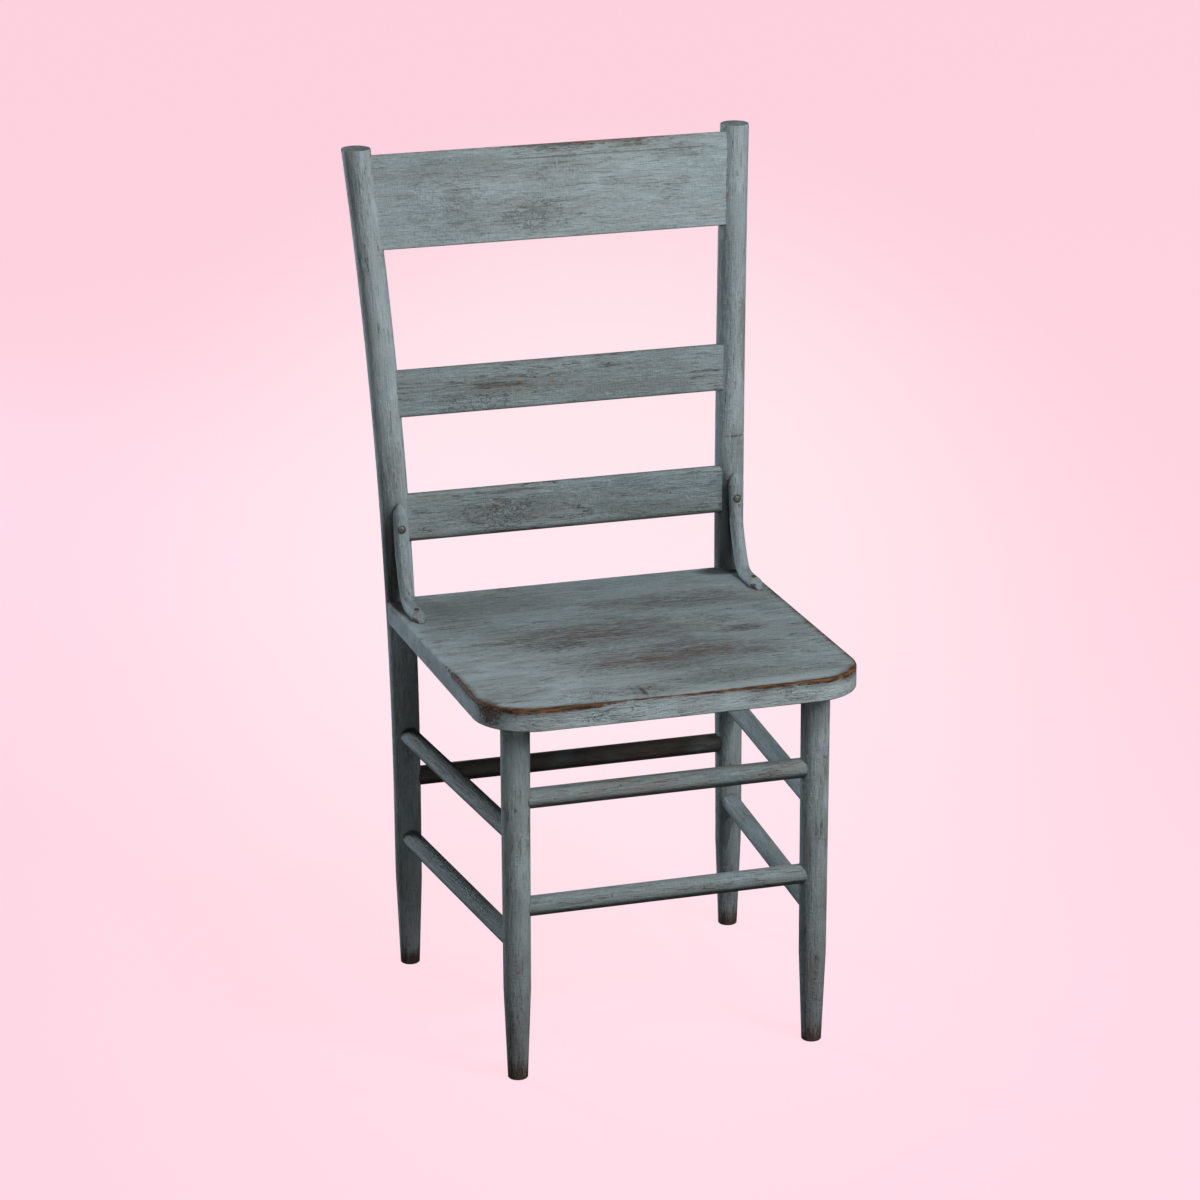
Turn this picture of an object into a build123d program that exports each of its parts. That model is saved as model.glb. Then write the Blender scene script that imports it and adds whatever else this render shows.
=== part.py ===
"""Painted farmhouse side chair with bent back posts, three back boards and two hip braces.

Millimetres. +Z is up, the chair faces -Y, X is its width and X = 0 its plane of symmetry.
The origin is on the floor, under the middle of the chair's outline.
"""
import math
import os

from build123d import *

# Seat plank
SEAT_HEIGHT = 425.0
SEAT_WIDTH = 415.0
SEAT_DEPTH = 406.4
SEAT_THICKNESS = 24.2
SEAT_CORNER_RADIUS = 60.0
SEAT_TOP_ROUND = 3.0
SEAT_BOTTOM_ROUND = 1.5
SEAT_EDGE_BEHIND_POST = 0.7
SEAT_HORN_BESIDE_POST = 5.0

# Legs, turned alike below the seat: foot, ankle where the taper starts, and seat level
FOOT_DIAMETER = 21.3
ANKLE_DIAMETER = 29.0
ANKLE_HEIGHT = 101.0
FOOT_CHAMFER = 0.8
FRONT_LEG_DIAMETER = 31.0
FRONT_LEG_INSET = 43.4
FRONT_LEG_SETBACK = 54.2
LEG_TENON_DIAMETER = 22.0
LEG_TENON_LENGTH = 15.0

# Bent back posts: straight at the foot, then bending back and outwards
POST_HEIGHT = 914.0
POST_DIAMETER = 32.4
POST_TOP_DIAMETER = 31.6
POST_TOP_ROUND = 1.2
POST_FOOT_SPACING = 376.4
POST_RAKE = 69.8
POST_RAKE_START = 125.0
POST_SPLAY = 26.6
POST_SPLAY_START = 241.0
POST_SECTIONS = 9

# Back boards, measured along their slope
SLAT_THICKNESS = 10.5
SLAT_FRONT_OFFSET = 10.9
SLAT_END_GAP = 4.0
SLAT_EDGE_ROUND = 1.2
CREST_BELOW_TOP = 108.8
CREST_WIDTH = 102.0
CREST_BEVEL_WIDTH = 14.0
CREST_BEVEL_DEPTH = 1.4
MIDDLE_BOTTOM = 624.9
MIDDLE_WIDTH = 50.8
LOWER_BOTTOM = 488.9
LOWER_WIDTH = 51.5
LOWER_BEVEL_WIDTH = 4.0
LOWER_BEVEL_DEPTH = 3.0

# Stretchers
CROSS_STRETCHER_DIAMETER = 21.4
SIDE_STRETCHER_DIAMETER = 20.6
STRETCHER_TENON_DIAMETER = 14.5
TENON_PAST_AXIS = 4.0
FRONT_UPPER_HEIGHT = 310.0
FRONT_LOWER_HEIGHT = 190.9
SIDE_UPPER_HEIGHT = 270.6
SIDE_LOWER_HEIGHT = 151.0
REAR_HEIGHT = 219.7

# Hip braces
BRACE_DIAMETER = 14.8
BRACE_TOP_HEIGHT = 536.0
BRACE_NOSE_LENGTH = 14.0
BRACE_TIP_DIAMETER = 3.0
BRACE_STRAIGHT_LENGTH = 24.0
BRACE_SADDLE_DEPTH = 2.6
BRACE_BOW_ANGLE = 25.0
BRACE_BEND_RADIUS = 24.0
BRACE_REACH = 98.0
BRACE_TOE_WIDTH = 5.0
BRACE_TOE_TAPER = 11.0
BRACE_FLAT_DEPTH = 4.0
BRACE_LEDGE_LENGTH = 22.0
BRACE_LEDGE_THICKNESS = 10.5
BRACE_TOE_THICKNESS = 1.0

# Screws: one pattern, in a smaller gauge at the toes of the braces
TOE_SCREW_GAUGE = 0.6
SCREW_SHANK_DIAMETER = 4.0
SCREW_HEAD_DIAMETER = 7.6
SCREW_HEAD_HEIGHT = 2.4
SCREW_HEAD_RIM = 0.7
SCREW_SLOT_WIDTH = 1.0
SCREW_SLOT_DEPTH = 1.1
SCREW_POINT_LENGTH = 3.0
SCREW_RECESS_DIAMETER = 9.2
BRACE_POST_SCREW_LENGTH = 24.0
BRACE_POST_SCREW_HEIGHT = 508.0
BRACE_POST_RECESS_DEPTH = 2.6
BRACE_SEAT_SCREW_LENGTH = 20.0
BRACE_SEAT_SCREW_SETBACK = 1.6
BRACE_SEAT_RECESS_DEPTH = 2.0
POST_SEAT_SCREW_LENGTH = 46.0
POST_SEAT_RECESS_DEPTH = 4.0

# Fits
TENON_CLEARANCE = 0.1
TENON_END_CLEARANCE = 1.0
SHOULDER_CLEARANCE = 0.15
MORTISE_CLEARANCE = 0.15
POST_NOTCH_CLEARANCE = 0.15
SADDLE_CLEARANCE = 0.1
SCREW_CLEARANCE = 0.1

SIDES = {"left": -1, "right": 1}


def bend(height, start, travel):
    """How far the post has bent sideways at a height, growing with the square of the height."""
    share = max(height - start, 0.0) / (POST_HEIGHT - start)
    return travel * share**2


def bend_slope(height, start, travel):
    """Sideways travel per unit of height at that height."""
    return 2 * travel * max(height - start, 0.0) / (POST_HEIGHT - start) ** 2


# Places along Y, from the front edge of the seat and the back of the post tops
top_rake_slope = bend_slope(POST_HEIGHT, POST_RAKE_START, POST_RAKE)
post_foot_from_front = SEAT_DEPTH - SEAT_EDGE_BEHIND_POST - bend(SEAT_HEIGHT, POST_RAKE_START, POST_RAKE)
post_back = POST_TOP_DIAMETER / 2 * math.hypot(1, top_rake_slope) - top_rake_slope * POST_TOP_ROUND
overall_depth = post_foot_from_front + POST_RAKE + post_back
seat_front_y = -overall_depth / 2
seat_back_y = seat_front_y + SEAT_DEPTH
post_foot_y = seat_front_y + post_foot_from_front
front_leg_y = seat_front_y + FRONT_LEG_SETBACK
seat_underside = SEAT_HEIGHT - SEAT_THICKNESS


def post_axis(side, height):
    x = POST_FOOT_SPACING / 2 + bend(height, POST_SPLAY_START, POST_SPLAY)
    y = post_foot_y + bend(height, POST_RAKE_START, POST_RAKE)
    return Vector(side * x, y, height)


def post_direction(side, height):
    out = bend_slope(height, POST_SPLAY_START, POST_SPLAY)
    back = bend_slope(height, POST_RAKE_START, POST_RAKE)
    return Vector(side * out, back, 1).normalized()


def front_leg_axis(side, height):
    return Vector(side * (SEAT_WIDTH / 2 - FRONT_LEG_INSET), front_leg_y, height)


def front_leg_direction(side, height):
    return Vector(0, 0, 1)


def between(height, low, low_size, high, high_size):
    """Size at a height on a straight taper from one height to another."""
    return low_size + (high_size - low_size) * (height - low) / (high - low)


def front_leg_radius(height):
    return between(height, ANKLE_HEIGHT, ANKLE_DIAMETER, seat_underside, FRONT_LEG_DIAMETER) / 2


def post_radius(height):
    if height < SEAT_HEIGHT:
        return between(height, ANKLE_HEIGHT, ANKLE_DIAMETER, SEAT_HEIGHT, POST_DIAMETER) / 2
    return between(height, SEAT_HEIGHT, POST_DIAMETER, POST_HEIGHT, POST_TOP_DIAMETER) / 2


def plane_across(origin, direction):
    """Plane square to an upright's or a stretcher's direction."""
    upright = abs(direction.Z) > 0.5
    x_dir = (direction.Z, 0, -direction.X) if upright else (direction.Y, -direction.X, 0)
    return Plane(origin=origin, x_dir=x_dir, z_dir=direction)


# Every stretcher: the two uprights it joins, each a kind and a side, then its height and diameter
FRONT = (front_leg_axis, front_leg_direction, front_leg_radius)
REAR = (post_axis, post_direction, post_radius)
STRETCHERS = {
    "front_upper_stretcher": ((FRONT, -1), (FRONT, 1), FRONT_UPPER_HEIGHT, CROSS_STRETCHER_DIAMETER),
    "front_lower_stretcher": ((FRONT, -1), (FRONT, 1), FRONT_LOWER_HEIGHT, CROSS_STRETCHER_DIAMETER),
    "left_upper_stretcher": ((FRONT, -1), (REAR, -1), SIDE_UPPER_HEIGHT, SIDE_STRETCHER_DIAMETER),
    "left_lower_stretcher": ((FRONT, -1), (REAR, -1), SIDE_LOWER_HEIGHT, SIDE_STRETCHER_DIAMETER),
    "right_upper_stretcher": ((FRONT, 1), (REAR, 1), SIDE_UPPER_HEIGHT, SIDE_STRETCHER_DIAMETER),
    "right_lower_stretcher": ((FRONT, 1), (REAR, 1), SIDE_LOWER_HEIGHT, SIDE_STRETCHER_DIAMETER),
    "rear_stretcher": ((REAR, -1), (REAR, 1), REAR_HEIGHT, CROSS_STRETCHER_DIAMETER),
}


def stretcher_ends(name):
    """The points where a stretcher's own axis crosses the axes of its two uprights."""
    (first, first_side), (second, second_side), height, _ = STRETCHERS[name]
    return first[0](first_side, height), second[0](second_side, height)


def sockets_of(kind, side):
    """Planes at an upright's axis, facing along each stretcher that ends in it."""
    planes = []
    for name, (first, second, _, _) in STRETCHERS.items():
        start, end = stretcher_ends(name)
        if first == (kind, side):
            planes.append(plane_across(start, (end - start).normalized()))
        if second == (kind, side):
            planes.append(plane_across(end, (start - end).normalized()))
    return planes


def cut_sockets(kind, side):
    """Blind holes for the stretcher tenons, drilled past the axis of the upright."""
    depth = TENON_PAST_AXIS + TENON_END_CLEARANCE
    radius = STRETCHER_TENON_DIAMETER / 2 + TENON_CLEARANCE
    with Locations(*sockets_of(kind, side)):
        with Locations((0, 0, -depth)):
            Cylinder(
                radius,
                depth + POST_DIAMETER,
                align=(Align.CENTER, Align.CENTER, Align.MIN),
                mode=Mode.SUBTRACT,
            )


# Back boards: height of the lower edge at the posts, width up the slope, and how far the front top
# edge is worked down the front and in from the front
SLATS = {
    "crest_rail": (POST_HEIGHT - CREST_BELOW_TOP, CREST_WIDTH, CREST_BEVEL_WIDTH, CREST_BEVEL_DEPTH),
    "middle_slat": (MIDDLE_BOTTOM, MIDDLE_WIDTH, SLAT_EDGE_ROUND, SLAT_EDGE_ROUND),
    "lower_slat": (LOWER_BOTTOM, LOWER_WIDTH, LOWER_BEVEL_WIDTH, LOWER_BEVEL_DEPTH),
}


def slat_plane(bottom, width):
    """Plane of a board's front face: X along the chair, Y up the slope, Z towards the sitter."""
    slope = bend_slope(bottom + width / 2, POST_RAKE_START, POST_RAKE)
    up = Vector(0, slope, 1).normalized()
    front = Vector(0, -up.Z, up.Y)
    foot = Vector(0, post_axis(1, bottom).Y, bottom)
    return Plane(origin=foot + front * SLAT_FRONT_OFFSET, x_dir=(1, 0, 0), z_dir=front)


def slat_board(name, slack):
    """A back board, or with some slack the tool that cuts its mortises in the posts."""
    bottom, width, bevel_width, bevel_depth = SLATS[name]
    face = slat_plane(bottom, width)
    up = Axis(face.origin, face.y_dir)
    out = Axis(face.origin, face.z_dir)
    low = post_axis(1, bottom).X - SLAT_END_GAP + slack
    high = post_axis(1, bottom + width * face.y_dir.Z).X - SLAT_END_GAP + slack
    with BuildPart() as board:
        with BuildSketch(face.offset(slack)):
            Polygon((-low, -slack), (low, -slack), (high, width + slack), (-high, width + slack), align=None)
        extrude(amount=-SLAT_THICKNESS - 2 * slack)
        front_top = board.edges().filter_by(Axis.X).group_by(up)[-1].sort_by(out)[-1]
        chamfer(front_top, bevel_width, bevel_depth, reference=board.faces().sort_by(out)[-1])
        rows = board.edges().filter_by(Axis.X).group_by(up)
        back_top = rows[-1].sort_by(out)[0]
        fillet([*rows[0], back_top], SLAT_EDGE_ROUND)
    return board.part


# Hip braces lie in planes of constant X, upper leg along the post, foot on the seat
brace_middle_height = BRACE_POST_SCREW_HEIGHT
brace_x = post_axis(1, brace_middle_height).X
brace_slope = bend_slope(brace_middle_height, POST_RAKE_START, POST_RAKE)
brace_up = Vector(0, brace_slope, 1).normalized()
brace_front = Vector(0, -brace_up.Z, brace_up.Y)
brace_from_post = post_radius(brace_middle_height) + BRACE_DIAMETER / 2 - BRACE_SADDLE_DEPTH
brace_foot_height = SEAT_HEIGHT + BRACE_DIAMETER / 2 - BRACE_FLAT_DEPTH
brace_toe_y = post_axis(1, SEAT_HEIGHT).Y - BRACE_REACH
brace_ledge_fall = BRACE_LEDGE_THICKNESS - BRACE_TOE_THICKNESS


def brace_axis(side, height):
    """Point on the straight upper leg of a brace."""
    middle = post_axis(side, brace_middle_height) + brace_front * brace_from_post
    return middle + brace_up * ((height - middle.Z) / brace_up.Z)


def brace_post_screw_plane(side):
    """Floor of the screw recess in the front of a brace, facing the sitter."""
    middle = brace_axis(side, BRACE_POST_SCREW_HEIGHT)
    floor = middle + brace_front * (BRACE_DIAMETER / 2 - BRACE_POST_RECESS_DEPTH)
    return Plane(origin=floor, x_dir=(1, 0, 0), z_dir=brace_front)


def brace_ledge_plane(side):
    """Flat on a brace's toe, falling towards the front from the foot of its shoulder."""
    shoulder = (side * brace_x, brace_toe_y + BRACE_LEDGE_LENGTH, SEAT_HEIGHT + BRACE_LEDGE_THICKNESS)
    return Plane(origin=shoulder, x_dir=(1, 0, 0), z_dir=(0, -brace_ledge_fall, BRACE_LEDGE_LENGTH))


def brace_seat_screw_plane(side):
    """Floor of the screw recess in the flat of a brace's toe."""
    ledge = brace_ledge_plane(side)
    floor = ledge.from_local_coords(Vector(0, -BRACE_SEAT_SCREW_SETBACK, -BRACE_SEAT_RECESS_DEPTH))
    return Plane(origin=floor, x_dir=(1, 0, 0), z_dir=ledge.z_dir)


post_screw_height = SEAT_HEIGHT - SEAT_THICKNESS / 2


def post_seat_screw_plane(side):
    """Floor of the screw recess in the back of a post, at the middle of the seat's thickness."""
    middle = post_axis(side, post_screw_height)
    floor = middle + Vector(0, post_radius(post_screw_height) - POST_SEAT_RECESS_DEPTH, 0)
    return Plane(origin=floor, x_dir=(1, 0, 0), z_dir=(0, 1, 0))


def cut_screw_hole(plane, length, gauge=1.0):
    """Snug hole for a screw's shank, below the plane its head sits on."""
    with Locations(plane):
        Cylinder(
            SCREW_SHANK_DIAMETER * gauge / 2 + SCREW_CLEARANCE,
            length + TENON_END_CLEARANCE,
            align=(Align.CENTER, Align.CENTER, Align.MAX),
            mode=Mode.SUBTRACT,
        )


def cut_screw_recess(plane, gauge=1.0):
    """Round recess for a screw's head, open above the plane the head sits on."""
    with Locations(plane):
        Cylinder(
            SCREW_RECESS_DIAMETER * gauge / 2,
            POST_DIAMETER,
            align=(Align.CENTER, Align.CENTER, Align.MIN),
            mode=Mode.SUBTRACT,
        )


def write(part, name):
    part.label = name
    export_step(part, f"parts/{name}.step")


os.makedirs("parts", exist_ok=True)

# Seat: rounded front corners, eased edges, leg sockets and a notch round each post
with BuildPart() as seat:
    with BuildSketch(Plane.XY.offset(SEAT_HEIGHT)) as seat_plan:
        with Locations((0, (seat_front_y + seat_back_y) / 2)):
            Rectangle(SEAT_WIDTH, SEAT_DEPTH)
        fillet(seat_plan.vertices().group_by(Axis.Y)[0], SEAT_CORNER_RADIUS)
    extrude(amount=-SEAT_THICKNESS)
    fillet(seat.edges().group_by(Axis.Z)[-1], SEAT_TOP_ROUND)
    fillet(seat.edges().group_by(Axis.Z)[0], SEAT_BOTTOM_ROUND)
    notch_radius = post_radius(SEAT_HEIGHT) + POST_NOTCH_CLEARANCE
    horn_end = notch_radius - SEAT_HORN_BESIDE_POST
    for side in SIDES.values():
        middle = plane_across(post_axis(side, post_screw_height), post_direction(side, post_screw_height))
        with BuildSketch(middle):
            Circle(notch_radius)
            with Locations((side * SEAT_WIDTH / 2, -horn_end)):
                Rectangle(SEAT_WIDTH, SEAT_DEPTH, align=(Align.CENTER, Align.MIN))
        extrude(amount=SEAT_THICKNESS, both=True, mode=Mode.SUBTRACT)
        with Locations(front_leg_axis(side, seat_underside)):
            Cylinder(
                LEG_TENON_DIAMETER / 2 + TENON_CLEARANCE,
                LEG_TENON_LENGTH + TENON_END_CLEARANCE,
                align=(Align.CENTER, Align.CENTER, Align.MIN),
                mode=Mode.SUBTRACT,
            )
        cut_screw_hole(brace_seat_screw_plane(side), BRACE_SEAT_SCREW_LENGTH, TOE_SCREW_GAUGE)
        cut_screw_hole(post_seat_screw_plane(side), POST_SEAT_SCREW_LENGTH)
write(seat.part, "seat")

# Front legs: turned in one piece with a tenon that goes up into the seat
for name, side in SIDES.items():
    with BuildPart() as front_leg:
        axis_plane = Plane.XZ.offset(-front_leg_y)
        x = front_leg_axis(side, 0).X
        with BuildSketch(axis_plane):
            with BuildLine():
                Polyline(
                    (x, 0),
                    (x + FOOT_DIAMETER / 2 - FOOT_CHAMFER, 0),
                    (x + FOOT_DIAMETER / 2, FOOT_CHAMFER),
                    (x + ANKLE_DIAMETER / 2, ANKLE_HEIGHT),
                    (x + FRONT_LEG_DIAMETER / 2, seat_underside),
                    (x + LEG_TENON_DIAMETER / 2, seat_underside),
                    (x + LEG_TENON_DIAMETER / 2, seat_underside + LEG_TENON_LENGTH),
                    (x, seat_underside + LEG_TENON_LENGTH),
                    close=True,
                )
            make_face()
        revolve(axis=Axis((x, front_leg_y, 0), (0, 0, 1)))
        cut_sockets(FRONT, side)
    write(front_leg.part, f"{name}_front_leg")

# Back boards: flat, longer at the top where the posts spread
for name in SLATS:
    write(slat_board(name, 0), name)

# Back posts: a tapered foot, then one smooth bend to the top, mortised for the boards
mortise_tools = [slat_board(name, MORTISE_CLEARANCE) for name in SLATS]
for name, side in SIDES.items():
    with BuildPart() as back_post:
        with BuildSketch(Plane(post_axis(side, 0))):
            Circle(FOOT_DIAMETER / 2)
        with BuildSketch(plane_across(post_axis(side, ANKLE_HEIGHT), post_direction(side, ANKLE_HEIGHT))):
            Circle(ANKLE_DIAMETER / 2)
        loft(ruled=True)
        chamfer(back_post.edges().group_by(Axis.Z)[0], FOOT_CHAMFER)
        for step in range(POST_SECTIONS + 1):
            height = between(step, 0, ANKLE_HEIGHT, POST_SECTIONS, POST_HEIGHT + POST_DIAMETER)
            with BuildSketch(plane_across(post_axis(side, height), post_direction(side, height))):
                Circle(post_radius(height))
        loft()
        split(bisect_by=Plane.XY.offset(POST_HEIGHT), keep=Keep.BOTTOM)
        fillet(back_post.edges().group_by(Axis.Z)[-1], POST_TOP_ROUND)
        cut_sockets(REAR, side)
        for tool in mortise_tools:
            add(tool, mode=Mode.SUBTRACT)
        cut_screw_hole(brace_post_screw_plane(side), BRACE_POST_SCREW_LENGTH)
        cut_screw_hole(post_seat_screw_plane(side), POST_SEAT_SCREW_LENGTH)
        cut_screw_recess(post_seat_screw_plane(side))
    write(back_post.part, f"{name}_back_post")

# Stretchers: round rods with shoulders hollowed to the uprights and a tenon at each end
for name, (first, second, height, diameter) in STRETCHERS.items():
    start, end = stretcher_ends(name)
    with BuildPart() as stretcher:
        along = plane_across(start, (end - start).normalized())
        with BuildSketch(along):
            Circle(diameter / 2)
        extrude(amount=(end - start).length)
        for (axis, direction, radius), side in (first, second):
            with BuildSketch(plane_across(axis(side, height), direction(side, height))):
                Circle(radius(height) + SHOULDER_CLEARANCE)
            extrude(amount=diameter, both=True, mode=Mode.SUBTRACT)
        with BuildSketch(along.offset(-TENON_PAST_AXIS)):
            Circle(STRETCHER_TENON_DIAMETER / 2)
        extrude(amount=(end - start).length + 2 * TENON_PAST_AXIS)
    write(stretcher.part, name)

# Hip braces: a round-nosed rod that bows forward from the post, then bends sharply onto the seat
lean = math.atan(brace_slope)
knee = lean + math.radians(BRACE_BOW_ANGLE)
leg_end_height = BRACE_TOP_HEIGHT - BRACE_STRAIGHT_LENGTH * brace_up.Z
bend_drop = BRACE_BEND_RADIUS * (1 - math.sin(knee))
bow_drop = leg_end_height - brace_foot_height - bend_drop
bow_radius = bow_drop / (math.sin(knee) - math.sin(lean))
bow_run = bow_radius * (math.cos(lean) - math.cos(knee))
bend_run = BRACE_BEND_RADIUS * math.cos(knee)
tip = BRACE_TOE_WIDTH / 2
spread = tip + (BRACE_DIAMETER / 2 - tip) * BRACE_REACH / BRACE_TOE_TAPER
for name, side in SIDES.items():
    leg_end = brace_axis(side, leg_end_height)
    bow_centre = leg_end + brace_front * bow_radius
    foot_end = leg_end - Vector(0, bow_run + bend_run, bow_drop + bend_drop)
    bend_centre = foot_end + Vector(0, 0, BRACE_BEND_RADIUS)
    foot_plane = Plane(origin=foot_end, x_dir=(1, 0, 0), z_dir=(0, -1, 0))
    with BuildPart() as hip_brace:
        with BuildSketch(foot_plane):
            Circle(BRACE_DIAMETER / 2)
        extrude(amount=foot_end.Y - brace_toe_y)
        with BuildSketch(foot_plane):
            Circle(BRACE_DIAMETER / 2)
        revolve(axis=Axis(bend_centre, (1, 0, 0)), revolution_arc=90 - math.degrees(knee))
        with BuildSketch(plane_across(leg_end, brace_up)):
            Circle(BRACE_DIAMETER / 2)
        revolve(axis=Axis(bow_centre, (-1, 0, 0)), revolution_arc=BRACE_BOW_ANGLE)
        with BuildSketch(Plane(origin=leg_end, x_dir=(1, 0, 0), z_dir=brace_front)):
            with BuildLine():
                outline = Polyline(
                    (BRACE_TIP_DIAMETER / 2, BRACE_STRAIGHT_LENGTH),
                    (0, BRACE_STRAIGHT_LENGTH),
                    (0, 0),
                    (BRACE_DIAMETER / 2, 0),
                    (BRACE_DIAMETER / 2, BRACE_STRAIGHT_LENGTH - BRACE_NOSE_LENGTH),
                )
                TangentArc(outline @ 1, outline @ 0, tangent=(0, 1))
            make_face()
        revolve(axis=Axis(leg_end, brace_up))
        saddle_direction = post_direction(side, brace_middle_height)
        with BuildSketch(plane_across(post_axis(side, brace_middle_height), saddle_direction)):
            Circle(post_radius(brace_middle_height) + SADDLE_CLEARANCE)
        extrude(amount=BRACE_TOP_HEIGHT - SEAT_HEIGHT, both=True, mode=Mode.SUBTRACT)
        with BuildSketch(Plane.XY.offset(SEAT_HEIGHT)):
            with Locations((side * brace_x, brace_toe_y)):
                Polygon((-tip, 0), (tip, 0), (spread, BRACE_REACH), (-spread, BRACE_REACH), align=None)
        extrude(amount=BRACE_TOP_HEIGHT, mode=Mode.INTERSECT)
        with BuildSketch(brace_ledge_plane(side)):
            Rectangle(2 * BRACE_DIAMETER, BRACE_REACH, align=(Align.CENTER, Align.MAX))
        extrude(amount=BRACE_DIAMETER, mode=Mode.SUBTRACT)
        cut_screw_recess(brace_seat_screw_plane(side), TOE_SCREW_GAUGE)
        cut_screw_recess(brace_post_screw_plane(side))
        cut_screw_hole(brace_post_screw_plane(side), BRACE_POST_SCREW_LENGTH)
        cut_screw_hole(brace_seat_screw_plane(side), BRACE_SEAT_SCREW_LENGTH, TOE_SCREW_GAUGE)
    write(hip_brace.part, f"{name}_hip_brace")

# Screws: domed slotted heads on plain pointed shanks, two alike in each group
SCREWS = {
    "brace_post_screws": (brace_post_screw_plane, BRACE_POST_SCREW_LENGTH, 1.0),
    "brace_seat_screws": (brace_seat_screw_plane, BRACE_SEAT_SCREW_LENGTH, TOE_SCREW_GAUGE),
    "post_seat_screws": (post_seat_screw_plane, POST_SEAT_SCREW_LENGTH, 1.0),
}


def screw(length, gauge):
    """One screw standing on its point, with the underside of its head at the origin."""
    shank = SCREW_SHANK_DIAMETER * gauge / 2
    rim = (SCREW_HEAD_DIAMETER * gauge / 2, SCREW_HEAD_RIM * gauge)
    crown = (0, SCREW_HEAD_HEIGHT * gauge)
    with BuildPart() as one:
        with BuildSketch(Plane.XZ):
            with BuildLine():
                Polyline(
                    crown,
                    (0, -length),
                    (shank, SCREW_POINT_LENGTH * gauge - length),
                    (shank, 0),
                    (rim[0], 0),
                    rim,
                )
                TangentArc(crown, rim, tangent=(1, 0))
            make_face()
        revolve(axis=Axis.Z)
        with Locations((0, 0, crown[1])):
            Box(
                SCREW_HEAD_DIAMETER * 2,
                SCREW_SLOT_WIDTH * gauge,
                SCREW_SLOT_DEPTH * gauge,
                align=(Align.CENTER, Align.CENTER, Align.MAX),
                mode=Mode.SUBTRACT,
            )
    return one.part


for name, (head_plane, length, gauge) in SCREWS.items():
    one_screw = screw(length, gauge)
    with BuildPart() as screws:
        with Locations(*[head_plane(side) for side in SIDES.values()]):
            add(one_screw)
    write(screws.part, name)
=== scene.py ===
"""Looks of the painted farmhouse chair: worn blue-grey paint over brown wood, in a pale pink studio."""

import math
from functools import partial

import bmesh
import bpy
import numpy as np
from mathutils import Matrix, Vector


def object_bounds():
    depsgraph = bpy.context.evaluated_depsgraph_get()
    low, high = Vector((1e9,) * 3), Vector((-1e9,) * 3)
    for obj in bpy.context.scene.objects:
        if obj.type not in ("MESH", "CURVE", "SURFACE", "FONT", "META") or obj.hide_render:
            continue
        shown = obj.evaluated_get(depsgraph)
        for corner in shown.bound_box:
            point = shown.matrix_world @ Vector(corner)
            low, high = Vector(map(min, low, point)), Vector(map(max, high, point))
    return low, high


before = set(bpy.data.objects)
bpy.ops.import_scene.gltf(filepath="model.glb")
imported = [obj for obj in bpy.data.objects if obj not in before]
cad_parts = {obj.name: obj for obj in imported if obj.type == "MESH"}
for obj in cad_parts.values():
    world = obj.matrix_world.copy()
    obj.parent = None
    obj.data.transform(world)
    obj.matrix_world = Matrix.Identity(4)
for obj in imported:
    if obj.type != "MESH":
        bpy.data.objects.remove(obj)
cad_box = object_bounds()


def vertices(node):
    """Places of a piece's vertices, in metres."""
    return np.array([v.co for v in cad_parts[node].data.vertices])


MM = 1000.0

# Camera, in metres and degrees
CAMERA_PLACE = (-1.3559, -4.2312, 1.8719)
CAMERA_AZIMUTH = -17.607
CAMERA_ELEVATION = 17.707
CAMERA_ROLL = -0.156
CAMERA_LENS_MM = 130.78
CAMERA_SENSOR_MM = 36.0

# Paint, wood and brass, linear colours
PAINT_DARK = (0.188, 0.234, 0.248, 1.0)
PAINT_MIDDLE = (0.345, 0.412, 0.434, 1.0)
PAINT_LIGHT = (0.490, 0.570, 0.596, 1.0)
PAINT_WARM = (0.300, 0.305, 0.290, 1.0)
WOOD_DARK = (0.050, 0.028, 0.018, 1.0)
WOOD_BARE = (0.230, 0.100, 0.042, 1.0)
WOOD_STAINED = (0.110, 0.078, 0.060, 1.0)
# Dark of cracks and dirt, also used for painted shade
GRIME_AND_PAINTED_SHADE = (0.030, 0.027, 0.022, 1.0)
BRASS = (0.260, 0.245, 0.195, 1.0)
BRASS_DIRTY = (0.120, 0.118, 0.100, 1.0)

# Bend of the back posts, in metres
POST_HEIGHT = cad_box[1][2]
POST_RAKE = 0.0698
POST_RAKE_START = 0.125
POST_SPLAY = 0.0266
POST_SPLAY_START = 0.241

# Outline of the seat's top, in metres
SEAT_FRONT = vertices("seat")[:, 1].min()
SEAT_HALF_WIDTH = vertices("seat")[:, 0].max()
SEAT_TOP = vertices("seat")[:, 2].max()
SEAT_CORNER = 0.060

# Grain of each piece: its direction on the boards, and the shift per seed that makes it the piece's own
ACROSS = (1.0, 0.0, 0.0)
SEED_SHIFT_MM = (211.0, 57.0, 83.0)

# Noises of the paint: how far each is drawn out along the grain, the size of its features across the
# grain in millimetres, its detail, its roughness, and a shift in millimetres to a place of its own
NOISES = {
    "broad": (2.2, 55.0, 3.0, 0.55, 0.0),
    "patches": (3.0, 22.0, 4.0, 0.55, 500.0),
    "streaks": (13.0, 2.8, 4.0, 0.66, 0.0),
    "fibres": (7.0, 1.4, 3.0, 0.70, 0.0),
    "flecks": (3.5, 2.2, 3.0, 0.65, 0.0),
    "furrows": (15.0, 1.8, 3.0, 0.66, 0.0),
    "contours": (11.0, 12.0, 6.0, 0.62, 0.0),
    "cross": (0.28, 6.0714, 3.0, 0.65, 0.0),
}
NOISE_MIDDLE = 0.5

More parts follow.
